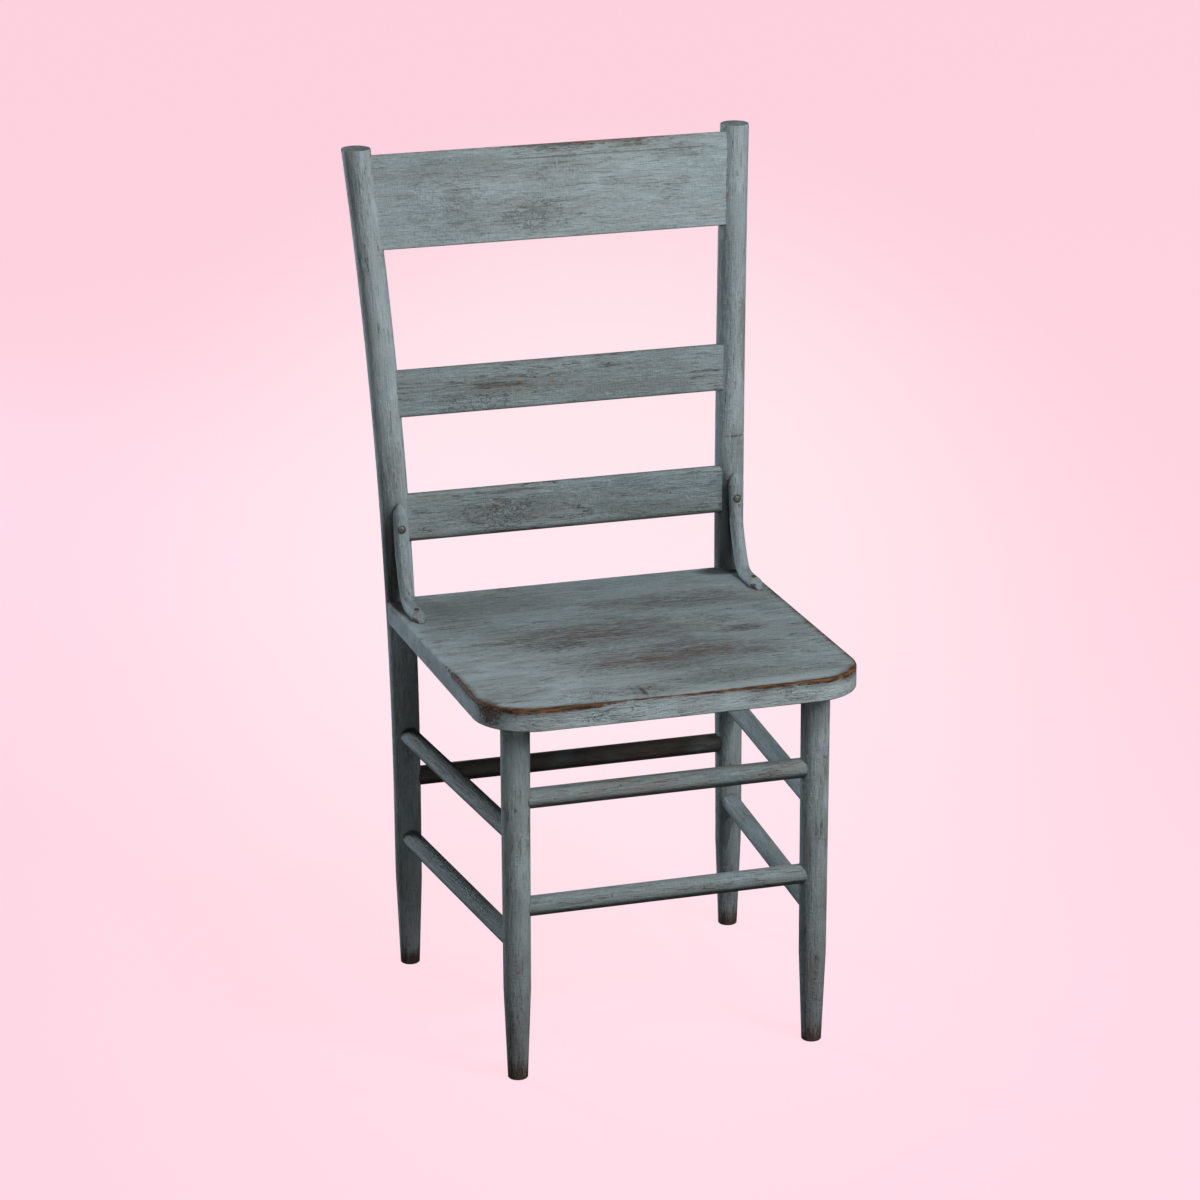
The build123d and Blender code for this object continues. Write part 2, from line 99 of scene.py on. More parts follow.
# What each noise adds to the paint's shade, to the fraying of worn places, to roughness and to relief
SHADE = {"broad": 0.65, "cross": 0.56, "streaks": 0.95, "fibres": 1.00}
SHADE_START = -1.08
FRAYING = {"streaks": 2.2, "flecks": 2.0}
FRAYING_START = -2.1
ROUGHNESS = {"streaks": 0.30, "bare": 0.12}
ROUGHNESS_START = 0.44
RELIEF = {"streaks": 0.70, "fibres": 0.35, "flecks": 0.75, "cross": 0.45, "lines": -0.50, "bare": -0.25}
RELIEF_STRENGTH = 0.9
RELIEF_DEPTH = 0.0018
SPECULAR = 0.35

# Colour of the coat and of the wood under it. A pair, here and below, is the value at which something
# begins to show and the value at which it shows in full
MIDDLE_SHADES = (0.10, 0.72)
LIGHT_SHADES = (0.55, 1.10)
WARM_PATCHES = (0.42, 0.62)
WOOD_STREAKS = (0.40, 0.60)

# Cracks, nicks and furrows, painted shade along creases, and the patches that have them
CRACK_LINES = (0.008, 0.002)
CRACK_PATCHES = (0.46, 0.60)
NICKS = (0.60, 0.72)
NICK_PATCHES = (0.44, 0.62)
NICK_SHARE = 0.45
FURROWS = (0.41, 0.34)
FURROW_PATCHES = (0.40, 0.58)
CREASE_LINES = (0.0010, 0.0002)
CREASE_PATCHES = (0.40, 0.60)
CREASE_SHARE = 0.7
CREASE_WANDER = 0.0030
LINE_SHARE = 0.62

# Nets of cracks: mesh, how far they are drawn out along the grain, and how much and how often they wander
NET_MESH_MM = 11.0
NET_LENGTH = 1.8
NET_WANDER_MM = 16.0
NET_WANDERS_PER_MM = 0.16
NET_DETAIL = 3.0
NET_LINES = (0.060, 0.015)

# Worn places: their rims, arrises, scores along the grain, stains and runs
SPOT_RIM = (1.05, 0.45)
SPOT_FRAYING = 0.75
ARRIS_RADIUS = 0.004
ARRIS_TURN = (0.97, 0.72)
ARRIS_START = 0.5
ARRIS_FULL = 0.9
SCORES = (0.555, 0.63)
STAIN_STREAKS = (0.78, 1.16)
STAIN_TEARING = 3.6
RUN_STREAKS = (0.25, 0.80)
RUN_LENGTH = 9.0
RUN_WIDTH_MM = 1.8
RUN_DETAIL = 4.0
RUN_ROUGHNESS = 0.75

# Arris of the seat, in metres, and the widths in millimetres that have a stained margin
RIM_FRAYING = 0.0026
RIM_BARE = (-0.0014, 0.0010)
RIM_LEAST = 0.5
MARGIN_REACH = (-0.0075, 0.0)
MARGIN_WIDTHS = (1.0, 4.0)
MARGIN_SHARE = 0.6

# Scuffs above the floor, in metres, dirt in patches, and painted shade by where a surface lies and faces:
# on tops under the seat, on undersides and in corners
SCUFFS = (0.30, 0.02)
SOLES = (0.036, 0.004)
SCUFF_FRAYING = 0.020
DIRT_PATCHES = (0.25, 0.60)
SHADED_TOP_FACING = (0.05, 0.65)
SHADED_UNDERSIDES = (-0.12, -0.50)
UNDERSIDE_SHADE = 0.7
CORNER_SHADE = (0.68, 0.08)
CORNER_SHADE_REACH = 0.020

# Brass of the screws
BRASS_PATCHES = (0.38, 0.62)
BRASS_PATCH_MM = 2.2
BRASS_DETAIL = 4.0
BRASS_SCRATCH_MM = 0.5
BRASS_SCRATCHES = (1.0, 0.1, 1.0)
BRASS_METALLIC = 0.15
BRASS_ROUGHNESS = 0.72
BRASS_POLISH = -0.35
BRASS_RELIEF_STRENGTH = 0.3
BRASS_RELIEF_DEPTH = 0.0002


class Finish:
    """A material whose nodes are made with one short call each."""

    def __init__(self, name):
        self.material = bpy.data.materials.new(name)
        self.material.use_nodes = True
        self.tree = self.material.node_tree
        self.shader = self.tree.nodes["Principled BSDF"]

    def put(self, socket, value):
        """Link a socket to another one, or set its value."""
        if isinstance(value, bpy.types.NodeSocket):
            self.tree.links.new(value, socket)
        else:
            socket.default_value = value

    def node(self, kind, inputs=None, **settings):
        made = self.tree.nodes.new(kind)
        for key, value in settings.items():
            setattr(made, key, value)
        for key, value in (inputs or {}).items():
            self.put(made.inputs[key], value)
        return made

    def math(self, operation, a, b=0.0, c=0.0):
        return self.node("ShaderNodeMath", {0: a, 1: b, 2: c}, operation=operation).outputs[0]

    def vector(self, operation, a, b=(0.0, 0.0, 0.0)):
        made = self.node("ShaderNodeVectorMath", {0: a, 1: b}, operation=operation)
        return made.outputs["Value" if operation in ("LENGTH", "DOT_PRODUCT") else "Vector"]

    def noise(self, place, size, detail=3.0, roughness=0.55):
        """Cloudy noise from 0 to 1 with features of about that size."""
        settings = {"Vector": place, "Scale": 1.0 / size, "Detail": detail, "Roughness": roughness}
        return self.node("ShaderNodeTexNoise", settings).outputs["Fac"]

    def step(self, value, low, high):
        """0 below low, 1 above high, smooth between; falling where low is above high."""
        if low > high:
            return self.math("SUBTRACT", 1.0, self.step(value, high, low))
        settings = {"Value": value, "From Min": low, "From Max": high}
        made = self.node("ShaderNodeMapRange", settings, interpolation_type="SMOOTHSTEP")
        return made.outputs["Result"]

    def mix(self, share, a, b):
        made = self.node("ShaderNodeMix", {0: share, 6: a, 7: b}, data_type="RGBA")
        return made.outputs[2]

    def several(self, operation, values):
        total = values[0]
        for value in values[1:]:
            total = self.math(operation, total, value)
        return total

    def product(self, *values):
        return self.several("MULTIPLY", values)

    def strongest(self, *values):
        return self.several("MAXIMUM", values)

    def weighted(self, values, weights, start=0.0):
        """Sum of named values, each times its weight."""
        total = start
        for name, weight in weights.items():
            total = self.math("MULTIPLY_ADD", values[name], weight, total)
        return total

    def position(self):
        return self.node("ShaderNodeTexCoord").outputs["Object"]

    def axes(self, place):
        return self.node("ShaderNodeSeparateXYZ", {0: place}).outputs

    def place(self, x, y, z=0.0):
        return self.node("ShaderNodeCombineXYZ", {0: x, 1: y, 2: z}).outputs[0]

    def relief(self, height, strength, depth):
        settings = {"Height": height, "Strength": strength, "Distance": depth}
        self.put(self.shader.inputs["Normal"], self.node("ShaderNodeBump", settings).outputs[0])


def own_grain(finish, place, seed, turn=(0.0, 0.0, 0.0)):
    """A place in metres turned, put in millimetres and shifted to a piece's own grain."""
    settings = {
        "Vector": place,
        "Scale": (MM, MM, MM),
        "Rotation": turn,
        "Location": tuple(seed * shift for shift in SEED_SHIFT_MM),
    }
    return finish.node("ShaderNodeMapping", settings).outputs["Vector"]


def straight_grain(finish, along, seed):
    """Place in millimetres with X along the grain of a straight piece."""
    along = Vector(along).normalized()
    across = along.orthogonal().normalized()
    turn = Matrix((along, across, along.cross(across)))
    return own_grain(finish, finish.position(), seed, turn.to_euler("XYZ"))


def post_grain(finish, side, seed):
    """Place in millimetres with X up the bent post, so that the grain follows its bend."""
    x, y, z = finish.axes(finish.position())

    def bend(start, travel):
        share = finish.math("DIVIDE", finish.math("SUBTRACT", z, start), POST_HEIGHT - start)
        raised = finish.math("POWER", finish.math("MAXIMUM", share, 0.0), 2.0)
        return finish.math("MULTIPLY", raised, travel)

    across = finish.math("SUBTRACT", x, bend(POST_SPLAY_START, side * POST_SPLAY))
    behind = finish.math("SUBTRACT", y, bend(POST_RAKE_START, POST_RAKE))
    return own_grain(finish, finish.place(z, across, behind), seed)


def stretched(finish, place, length):
    """The same place with the grain direction drawn out by that factor."""
    return finish.vector("MULTIPLY", place, (1.0 / length, 1.0, 1.0))


def brush_marks(finish, place):
    """The noises that the paint is made of, by name, and the fraying that they give worn places."""
    marks = {}
    for name, (length, size, detail, roughness, shift) in NOISES.items():
        own_place = finish.vector("ADD", stretched(finish, place, length), (0.0, shift, 0.0))
        marks[name] = finish.noise(own_place, size, detail, roughness)
    marks["ragged"] = finish.weighted(marks, FRAYING, FRAYING_START)
    return marks


def spot(finish, centre, radii, ragged):
    """1 inside an ellipsoid about a point of the chair, in metres, with a ragged and streaky rim."""
    offset = finish.vector("SUBTRACT", finish.position(), centre)
    reach = finish.vector("LENGTH", finish.vector("DIVIDE", offset, radii))
    return finish.step(finish.math("MULTIPLY_ADD", ragged, SPOT_FRAYING, reach), *SPOT_RIM)


def spots(finish, places, ragged=0.0):
    """The strongest of several spots at each point."""
    shown = [finish.product(spot(finish, c, r, ragged), share) for c, r, share in places]
    return finish.strongest(*shown) if shown else 0.0


def arrises(finish):
    """1 on the arrises of a piece, 0 on its faces."""
    rounded = finish.node("ShaderNodeBevel", {"Radius": ARRIS_RADIUS}, samples=6).outputs[0]
    normal = finish.node("ShaderNodeNewGeometry").outputs["Normal"]
    return finish.step(finish.vector("DOT_PRODUCT", rounded, normal), *ARRIS_TURN)


def facing_up(finish):
    """Upward part of the surface's direction, from -1 underneath to 1 on top."""
    return finish.axes(finish.node("ShaderNodeNewGeometry").outputs["Normal"])["Z"]


def crease(finish, height, wobble):
    """A dark level line across a board where its bevel starts: painted shade in the crease, a little
    uneven.
    """
    level = finish.math("MULTIPLY_ADD", wobble, CREASE_WANDER, finish.axes(finish.position())["Z"])
    away = finish.math("SUBTRACT", level, height + CREASE_WANDER * NOISE_MIDDLE)
    return finish.step(finish.math("ABSOLUTE", away), *CREASE_LINES)


def crack_net(finish, place):
    """Thin lines of a net of cracks in the paint."""
    settings = {"Vector": place, "Scale": NET_WANDERS_PER_MM, "Detail": NET_DETAIL}
    wander = finish.node("ShaderNodeTexNoise", settings).outputs["Color"]
    wander = finish.vector("MULTIPLY", wander, (NET_WANDER_MM, NET_WANDER_MM, NET_WANDER_MM))
    bent = finish.vector("ADD", stretched(finish, place, NET_LENGTH), wander)
    settings = {"Vector": bent, "Scale": 1.0 / NET_MESH_MM}
    net = finish.node("ShaderNodeTexVoronoi", settings, feature="DISTANCE_TO_EDGE").outputs["Distance"]
    return finish.step(net, *NET_LINES)


def seat_rim(finish):
    """Distance in metres from the arris round the top of the seat."""
    x, y, z = finish.axes(finish.position())
    sideways = finish.math("SUBTRACT", finish.math("ABSOLUTE", x), SEAT_HALF_WIDTH - SEAT_CORNER)
    forwards = finish.math("SUBTRACT", SEAT_FRONT + SEAT_CORNER, y)
    corner = finish.place(finish.math("MAXIMUM", sideways, 0.0), finish.math("MAXIMUM", forwards, 0.0))
    inside = finish.math("SUBTRACT", SEAT_CORNER, finish.vector("LENGTH", corner))
    below = finish.math("SUBTRACT", SEAT_TOP, z)
    return finish.vector("LENGTH", finish.place(inside, below))


def seat_rim_wear(finish, marks):
    """Bare wood along the seat's arris, as wide as each stretch of it has been rubbed, and its margin."""
    width = finish.product(spots(finish, SEAT_RIM_WEAR), finish.math("ADD", marks["patches"], RIM_LEAST))
    reach = finish.math("MULTIPLY_ADD", marks["ragged"], RIM_FRAYING, seat_rim(finish))
    spare = finish.math("MULTIPLY_ADD", width, 1.0 / MM, finish.math("MULTIPLY", reach, -1.0))
    margin = finish.product(finish.step(spare, *MARGIN_REACH), finish.step(width, *MARGIN_WIDTHS))
    return finish.step(spare, *RIM_BARE), finish.product(margin, MARGIN_SHARE)


def paint_colour(finish, name, marks, tone, warmth):
    """The coat's colour: dark to light with the brush marks, warmer in patches, and paler or darker in
    listed places, some of them painted light and shade.
    """
    shade = finish.weighted(marks, SHADE, tone + SHADE_START)
    # Paler and darker places, some of them painted light and shade
    shade = finish.math("ADD", shade, spots(finish, TONE_AND_PAINTED_LIGHT.get(name, ())))
    paint = finish.mix(finish.step(shade, *MIDDLE_SHADES), PAINT_DARK, PAINT_MIDDLE)
    paint = finish.mix(finish.step(shade, *LIGHT_SHADES), paint, PAINT_LIGHT)
    warm = finish.product(finish.step(marks["patches"], *WARM_PATCHES), warmth)
    return finish.mix(warm, paint, PAINT_WARM)


def dark_lines(finish, name, place, marks, furrowed, cracked):
    """Cracks, nicks and furrows in patches of the paint, a piece's own nets of cracks, and painted shade
    along its creases.
    """
    patches = marks["patches"]
    off_contour = finish.math("ABSOLUTE", finish.math("SUBTRACT", marks["contours"], NOISE_MIDDLE))
    cracks = finish.product(finish.step(off_contour, *CRACK_LINES), finish.step(patches, *CRACK_PATCHES))
    nicks = finish.product(finish.step(marks["flecks"], *NICKS), finish.step(patches, *NICK_PATCHES))
    furrows = finish.product(
        finish.step(marks["furrows"], *FURROWS),
        finish.step(marks["broad"], *FURROW_PATCHES),
    )
    lines = finish.strongest(
        finish.product(cracks, cracked),
        finish.product(nicks, NICK_SHARE),
        finish.product(furrows, furrowed),
    )
    if name in CRACKED:
        net = finish.product(crack_net(finish, place), spots(finish, CRACKED[name], marks["ragged"]))
        lines = finish.strongest(lines, net)
    # Dark lines along creases: painted shade
    for height in CREASES.get(name, ()):
        shown = finish.product(finish.step(patches, *CREASE_PATCHES), CREASE_SHARE)
        lines = finish.strongest(lines, finish.product(crease(finish, height, marks["flecks"]), shown))
    return lines


def bare_wood(finish, name, marks, edge_wear):
    """Where the paint is gone: along arrises, in rubbed places and in thin scores along the grain."""
    ragged = marks["ragged"]
    frayed = finish.step(ragged, ARRIS_START - edge_wear, ARRIS_FULL - edge_wear)
    scores = finish.step(marks["streaks"], *SCORES)
    return finish.strongest(
        finish.product(arrises(finish), frayed),
        spots(finish, BARE.get(name, ()), ragged),
        finish.product(scores, spots(finish, SCORED.get(name, ()), ragged)),
    )


def stains(finish, name, marks, dirt):
    """Where the paint is thin and brown: torn streaky spots, runs down a board, and dirt in patches."""
    streaky = finish.step(finish.math("ADD", marks["streaks"], marks["fibres"]), *STAIN_STREAKS)
    uneven = finish.math("SUBTRACT", marks["patches"], NOISE_MIDDLE)
    torn = finish.math("MULTIPLY_ADD", uneven, STAIN_TEARING, marks["ragged"])
    stained = finish.product(streaky, spots(finish, STAINED.get(name, ()), torn))
    if name in RUNS:
        upright = finish.vector("MULTIPLY", finish.position(), (MM, MM, MM / RUN_LENGTH))
        runs = finish.step(finish.noise(upright, RUN_WIDTH_MM, RUN_DETAIL, RUN_ROUGHNESS), *RUN_STREAKS)
        stained = finish.strongest(stained, finish.product(runs, spots(finish, RUNS[name])))
    if dirt:
        dirty = finish.product(finish.step(marks["patches"], *DIRT_PATCHES), dirt)
        stained = finish.strongest(stained, dirty)
    return stained


def foot_wear(finish, ragged, scuffed):
    """Scuffs that grow towards the floor, and the worn end of the foot."""
    height = finish.math("MULTIPLY_ADD", ragged, SCUFF_FRAYING, finish.axes(finish.position())["Z"])
    scuffs = finish.product(finish.step(height, *SCUFFS), scuffed)
    return finish.strongest(scuffs, finish.step(height, *SOLES))


def painted_shade_and_grime(finish, name):
    """Painted shade in the joints and on undersides, and painted shade with some dirt where a piece has
    it.
    """
    # Painted shade: darker in corners and joints by ambient occlusion, and darker on undersides
    corner = finish.node("ShaderNodeAmbientOcclusion", {"Distance": CORNER_SHADE_REACH}, samples=4).outputs["AO"]
    shaded_underside = finish.product(finish.step(facing_up(finish), *SHADED_UNDERSIDES), UNDERSIDE_SHADE)
    return finish.strongest(finish.step(corner, *CORNER_SHADE), shaded_underside, spots(finish, SHADED_AND_GRIMY.get(name, ())))


def worn_paint(name, grain, edge_wear=0.5, tone=0.0, warmth=0.3, furrowed=0.6, cracked=1.0, dirt=0.0,
               dirty_foot=False, scuffed=0.55, shaded_top=0.0):
    """Blue-grey paint with brushed grain and cracks, painted light and shade in places, painted shade in
    the joints and beneath, some dirt, and bare wood where it is worn.
    """
    finish = Finish(name)
    place = grain(finish)
    marks = brush_marks(finish, place)
    lines = dark_lines(finish, name, place, marks, furrowed, cracked)
    bare = bare_wood(finish, name, marks, edge_wear)
    stained = stains(finish, name, marks, dirt)
    if name == "seat":
        rim, margin = seat_rim_wear(finish, marks)
        bare = finish.strongest(bare, rim)
        stained = finish.strongest(stained, margin)
    if dirty_foot:
        stained = finish.strongest(stained, foot_wear(finish, marks["ragged"], scuffed))

    wood = finish.mix(finish.step(marks["streaks"], *WOOD_STREAKS), WOOD_DARK, WOOD_BARE)
    colour = finish.mix(stained, paint_colour(finish, name, marks, tone, warmth), WOOD_STAINED)
    colour = finish.mix(bare, colour, wood)
    colour = finish.mix(finish.product(lines, LINE_SHARE), colour, GRIME_AND_PAINTED_SHADE)
    # Tops darkened as if in the seat's shadow: painted shadow
    if shaded_top:
        top_shade = finish.product(finish.step(facing_up(finish), *SHADED_TOP_FACING), shaded_top)
        colour = finish.mix(top_shade, colour, GRIME_AND_PAINTED_SHADE)
    # Painted shade in corners, on undersides and behind the braces, with some dirt
    colour = finish.mix(painted_shade_and_grime(finish, name), colour, GRIME_AND_PAINTED_SHADE)

    marks.update(lines=lines, bare=bare)
    finish.put(finish.shader.inputs["Base Color"], colour)
    finish.put(finish.shader.inputs["Roughness"], finish.weighted(marks, ROUGHNESS, ROUGHNESS_START))
    finish.put(finish.shader.inputs["Specular IOR Level"], SPECULAR)
    finish.relief(finish.weighted(marks, RELIEF), RELIEF_STRENGTH, RELIEF_DEPTH)
    return finish.material


def dull_brass(name):
    """Old slotted screws: brass gone dark, brighter where a driver has rubbed it."""
    finish = Finish(name)
    place = finish.vector("MULTIPLY", finish.position(), (MM, MM, MM))
    patches = finish.noise(place, BRASS_PATCH_MM, BRASS_DETAIL)
    scratches = finish.noise(finish.vector("MULTIPLY", place, BRASS_SCRATCHES), BRASS_SCRATCH_MM)
    colour = finish.mix(finish.step(patches, *BRASS_PATCHES), BRASS_DIRTY, BRASS)
    rough = finish.math("MULTIPLY_ADD", patches, BRASS_POLISH, BRASS_ROUGHNESS)
    finish.put(finish.shader.inputs["Base Color"], colour)
    finish.put(finish.shader.inputs["Metallic"], BRASS_METALLIC)
    finish.put(finish.shader.inputs["Roughness"], rough)
    finish.relief(scratches, BRASS_RELIEF_STRENGTH, BRASS_RELIEF_DEPTH)
    return finish.material


def coat(node, material):
    """Give a piece its one material."""
    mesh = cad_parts[node].data
    mesh.materials.clear()
    mesh.materials.append(material)


def long_axis(node):
    """Direction in which a slender piece runs."""
    places = vertices(node)
    return np.linalg.svd(places - places.mean(0), full_matrices=False)[2][0]


# Places rubbed down to bare wood: centre and radii in metres, and share
BARE = {
    "seat": [
        ((-0.198, -0.212, 0.418), (0.014, 0.026, 0.016), 0.75),
        ((-0.033, -0.028, 0.425), (0.030, 0.009, 0.004), 0.40),
        ((0.010, -0.125, 0.425), (0.050, 0.006, 0.004), 0.35),
        ((0.060, -0.112, 0.425), (0.040, 0.005, 0.004), 0.40),
        ((0.122, -0.122, 0.425), (0.016, 0.010, 0.004), 0.40),
        ((-0.036, -0.218, 0.425), (0.003, 0.018, 0.004), 0.75),
    ],
    "crest_rail": [
        ((-0.033, 0.202, 0.844), (0.010, 0.008, 0.007), 0.25),
        ((0.045, 0.214, 0.908), (0.120, 0.014, 0.005), 0.60),
    ],
    "right_back_post": [((0.197, 0.162, 0.5754), (0.014, 0.014, 0.0014), 0.70)],
    "left_hip_brace": [((-0.1985, 0.0720, 0.4270), (0.004, 0.009, 0.005), 0.80)],
    "right_hip_brace": [((0.1870, 0.0720, 0.4270), (0.004, 0.009, 0.005), 0.80)],
    "lower_slat": [((-0.070, 0.163, 0.536), (0.045, 0.010, 0.004), 0.35)],
    "middle_slat": [((-0.077, 0.175, 0.653), (0.030, 0.010, 0.004), 0.40)],
}

# Places scored to the wood in thin lines along the grain, likewise
SCORED = {
    "seat": [
        ((0.000, -0.020, 0.425), (0.180, 0.055, 0.006), 0.90),
        ((0.020, -0.115, 0.425), (0.190, 0.055, 0.006), 0.90),
        ((0.080, 0.065, 0.425), (0.130, 0.040, 0.006), 0.50),
        ((-0.150, -0.190, 0.425), (0.060, 0.030, 0.006), 0.50),
        ((0.130, -0.050, 0.425), (0.070, 0.020, 0.006), 0.60),
    ],
    "middle_slat": [((-0.060, 0.175, 0.650), (0.120, 0.012, 0.014), 0.50)],
    "lower_slat": [((-0.040, 0.160, 0.515), (0.150, 0.012, 0.022), 0.50)],
}

# Places where the wood stains the paint, likewise
STAINED = {
    "left_back_post": [
        ((-0.223, 0.208, 0.880), (0.010, 0.016, 0.050), 0.45),
        ((-0.200, 0.150, 0.560), (0.022, 0.024, 0.090), 0.60),
        ((-0.188, 0.140, 0.300), (0.030, 0.030, 0.130), 0.55),
    ],
    "right_back_post": [
        ((0.212, 0.172, 0.690), (0.009, 0.022, 0.060), 0.60),
        ((0.206, 0.188, 0.800), (0.010, 0.020, 0.040), 0.25),
        ((0.200, 0.150, 0.560), (0.014, 0.022, 0.040), 0.50),
    ],
    "crest_rail": [
        ((0.016, 0.212, 0.902), (0.060, 0.015, 0.010), 0.85),
        ((0.090, 0.212, 0.903), (0.060, 0.015, 0.009), 0.80),
        ((-0.090, 0.208, 0.885), (0.090, 0.015, 0.016), 0.45),
        ((-0.020, 0.200, 0.836), (0.080, 0.012, 0.026), 0.45),
    ],
    "middle_slat": [
        ((-0.060, 0.175, 0.652), (0.110, 0.012, 0.014), 0.55),
        ((0.090, 0.174, 0.640), (0.090, 0.012, 0.010), 0.45),
    ],
    "lower_slat": [
        ((-0.060, 0.160, 0.512), (0.110, 0.012, 0.020), 0.50),
        ((0.110, 0.160, 0.500), (0.080, 0.012, 0.012), 0.50),
    ],
    "seat": [
        ((-0.020, -0.025, 0.425), (0.150, 0.060, 0.006), 0.85),
        ((0.030, -0.118, 0.425), (0.150, 0.055, 0.006), 0.85),
        ((0.100, 0.060, 0.425), (0.130, 0.040, 0.006), 0.75),
        ((0.132, -0.050, 0.425), (0.026, 0.012, 0.006), 0.90),
        ((-0.110, 0.110, 0.425), (0.120, 0.050, 0.006), 0.60),
        ((-0.030, -0.214, 0.425), (0.060, 0.024, 0.006), 0.55),
        ((-0.170, -0.185, 0.425), (0.040, 0.030, 0.006), 0.50),
        ((0.060, -0.200, 0.425), (0.120, 0.030, 0.006), 0.45),
    ],
}

# Places where stains have run down a board, likewise
RUNS = {
    "crest_rail": [
        ((0.012, 0.207, 0.876), (0.045, 0.020, 0.026), 0.50),
        ((-0.110, 0.203, 0.852), (0.024, 0.020, 0.024), 0.30),
        ((0.060, 0.203, 0.840), (0.050, 0.020, 0.024), 0.20),
    ],
}

# Painted shade, with some dirt, along the lower edges of the boards and behind the braces, likewise
SHADED_AND_GRIMY = {
    "crest_rail": [((0.000, 0.195, 0.803), (1.000, 0.060, 0.006), 0.50)],
    "middle_slat": [((0.000, 0.169, 0.622), (1.000, 0.060, 0.008), 0.75)],
    "lower_slat": [((0.000, 0.158, 0.486), (1.000, 0.060, 0.010), 0.90)],
    "left_back_post": [((-0.203, 0.156, 0.465), (0.014, 0.025, 0.080), 0.80)],
    "right_back_post": [((0.180, 0.156, 0.475), (0.016, 0.025, 0.090), 0.80)],
    "seat": [
        ((-0.198, 0.135, 0.425), (0.016, 0.045, 0.010), 0.90),
        ((0.180, 0.150, 0.425), (0.040, 0.020, 0.010), 0.85),
    ],
    "left_hip_brace": [((-0.205, 0.110, 0.500), (0.006, 0.040, 0.060), 0.45)],
    "right_hip_brace": [((0.186, 0.110, 0.500), (0.006, 0.040, 0.060), 0.45)],
}

# Places where the paint has crazed, likewise
CRACKED = {
    "seat": [
        ((-0.080, -0.049, 0.425), (0.040, 0.022, 0.006), 0.9),
        ((-0.097, -0.217, 0.425), (0.045, 0.026, 0.006), 0.9),
        ((-0.036, -0.214, 0.425), (0.030, 0.022, 0.006), 0.9),
        ((0.060, -0.190, 0.425), (0.060, 0.024, 0.006), 0.6),
        ((0.132, -0.050, 0.425), (0.030, 0.014, 0.006), 0.8),
        ((0.090, 0.060, 0.425), (0.070, 0.026, 0.006), 0.5),
        ((-0.080, -0.248, 0.412), (0.070, 0.012, 0.014), 0.9),
        ((0.110, -0.248, 0.412), (0.060, 0.012, 0.012), 0.6),
    ],
    "crest_rail": [
        ((-0.115, 0.200, 0.850), (0.060, 0.020, 0.050), 0.35),
        ((-0.020, 0.200, 0.835), (0.050, 0.020, 0.025), 0.55),
    ],
    "lower_slat": [((-0.075, 0.160, 0.512), (0.050, 0.015, 0.020), 0.7)],
    "middle_slat": [((-0.100, 0.173, 0.636), (0.050, 0.015, 0.014), 0.6)],
}

# Places made paler or darker: centre and radii in metres, and what is added to the paint's shade. On the
# seat and the right front leg this is painted light and shade
TONE_AND_PAINTED_LIGHT = {
    "seat": [
        # The seat is paler at its front, front face and left face: painted light
        ((-0.130, -0.150, 0.420), (0.190, 0.170, 0.060), 0.36),
        ((0.000, -0.250, 0.410), (0.300, 0.050, 0.060), 0.65),
        ((-0.208, -0.040, 0.411), (0.016, 0.250, 0.030), 0.30),
    ],
    "crest_rail": [((0.020, 0.205, 0.860), (0.160, 0.030, 0.060), 0.12)],
    "lower_slat": [((0.130, 0.160, 0.515), (0.140, 0.030, 0.050), -0.16)],
    "left_back_post": [((-0.212, 0.178, 0.800), (0.016, 0.022, 0.220), 0.26)],
    "right_back_post": [((0.190, 0.180, 0.780), (0.016, 0.040, 0.240), -0.30)],
    # The right front leg is darker down its left side: painted shade
    "right_front_leg": [((0.148, -0.186, 0.220), (0.012, 0.030, 0.300), -0.30)],
}

# Stretches of the seat's arris: centre and radii in metres, and the width rubbed bare in millimetres
SEAT_RIM_WEAR = [
    ((-0.150, -0.245, 0.424), (0.100, 0.045, 0.030), 4.6),
    ((-0.040, -0.248, 0.424), (0.160, 0.020, 0.030), 2.4),
    ((0.080, -0.248, 0.424), (0.160, 0.020, 0.030), 2.8),
    ((0.175, -0.235, 0.424), (0.075, 0.050, 0.030), 4.4),
    ((-0.205, -0.170, 0.424), (0.030, 0.110, 0.030), 3.4),
    ((0.2075, -0.020, 0.424), (0.020, 0.360, 0.030), 3.0),
    ((0.000, 0.158, 0.424), (0.400, 0.010, 0.030), 1.5),
]

# Heights in metres of creases across a board, each given a line of painted shade
CREASES = {"crest_rail": [0.8935]}

